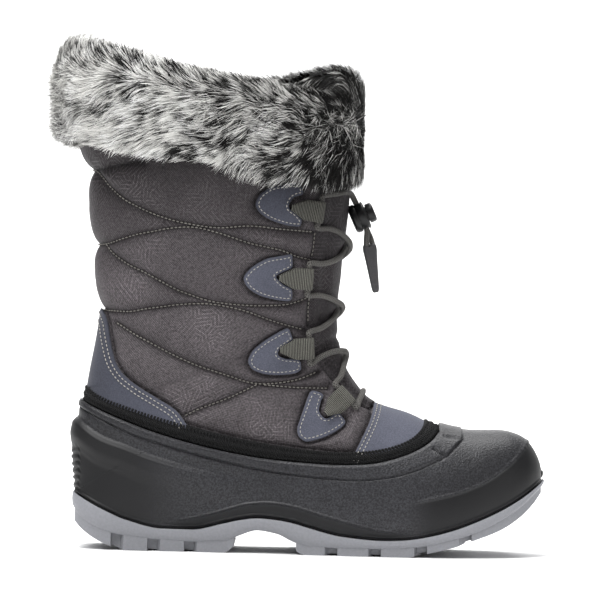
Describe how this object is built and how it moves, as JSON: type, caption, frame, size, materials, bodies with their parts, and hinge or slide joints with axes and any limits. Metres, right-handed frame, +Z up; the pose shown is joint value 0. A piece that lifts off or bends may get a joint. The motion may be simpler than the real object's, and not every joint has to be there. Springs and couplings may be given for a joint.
{
  "type": "snow boot",
  "caption": "Insulated winter boot for the right foot: quilted textile shaft, fur cuff, moulded rubber shell, lugged sole, and an elastic lace with a cord lock.",
  "frame": {"origin": "centre of the boot's bounding box, on the plane that the heel and forefoot lugs stand on", "axes": "+X to the toe, +Z up the shaft, +Y to the inner (medial) side of this right boot"},
  "size_m": [0.3086, 0.1277, 0.3145],
  "materials": {
    "sole_rubber": "satin moulded rubber",
    "shell_rubber": "satin moulded rubber with a fine pebble",
    "felt": "matt felt",
    "quilted_textile": "woven, faintly shiny, quilted",
    "braid": "matt braided",
    "synthetic_leather": "matt, suede-like",
    "fur": "deep marled pile",
    "webbing": "ribbed tape",
    "elastic_cord": "woven sheath",
    "lock_plastic": "glossy",
    "tab_plastic": "ribbed, satin"
  },
  "bodies": {
    "boot": {"outsole": "sole_rubber", "rubber_shell": "shell_rubber", "insole": "felt", "upper": "quilted_textile", "tongue": "quilted_textile", "binding": "braid", "heel_counter": "synthetic_leather", "toe_overlay": "synthetic_leather", "fur_cuff": "fur", "webbing_loop_lateral_1": "webbing", "webbing_loop_lateral_2": "webbing", "webbing_loop_lateral_3": "webbing", "webbing_loop_lateral_4": "webbing", "webbing_loop_medial_1": "webbing", "webbing_loop_medial_2": "webbing", "webbing_loop_medial_3": "webbing", "webbing_loop_medial_4": "webbing", "lace_bar": "elastic_cord", "lace_cross_1": "elastic_cord", "lace_cross_2": "elastic_cord", "lace_cross_3": "elastic_cord", "lace_end_lateral": "elastic_cord", "lace_end_medial": "elastic_cord", "cord_lock_barrel": "lock_plastic", "pull_tab": "tab_plastic"},
    "lock_button": {"cord_lock_button": "lock_plastic"}
  },
  "joints": [
    {"name": "lock_button_press", "type": "slide", "parent": "boot", "child": "lock_button", "axis": [-0.9135, 0, -0.4067], "range_m": [0, 0.002], "stiffness_N_per_m": 400, "springref_m": -0.004}
  ]
}
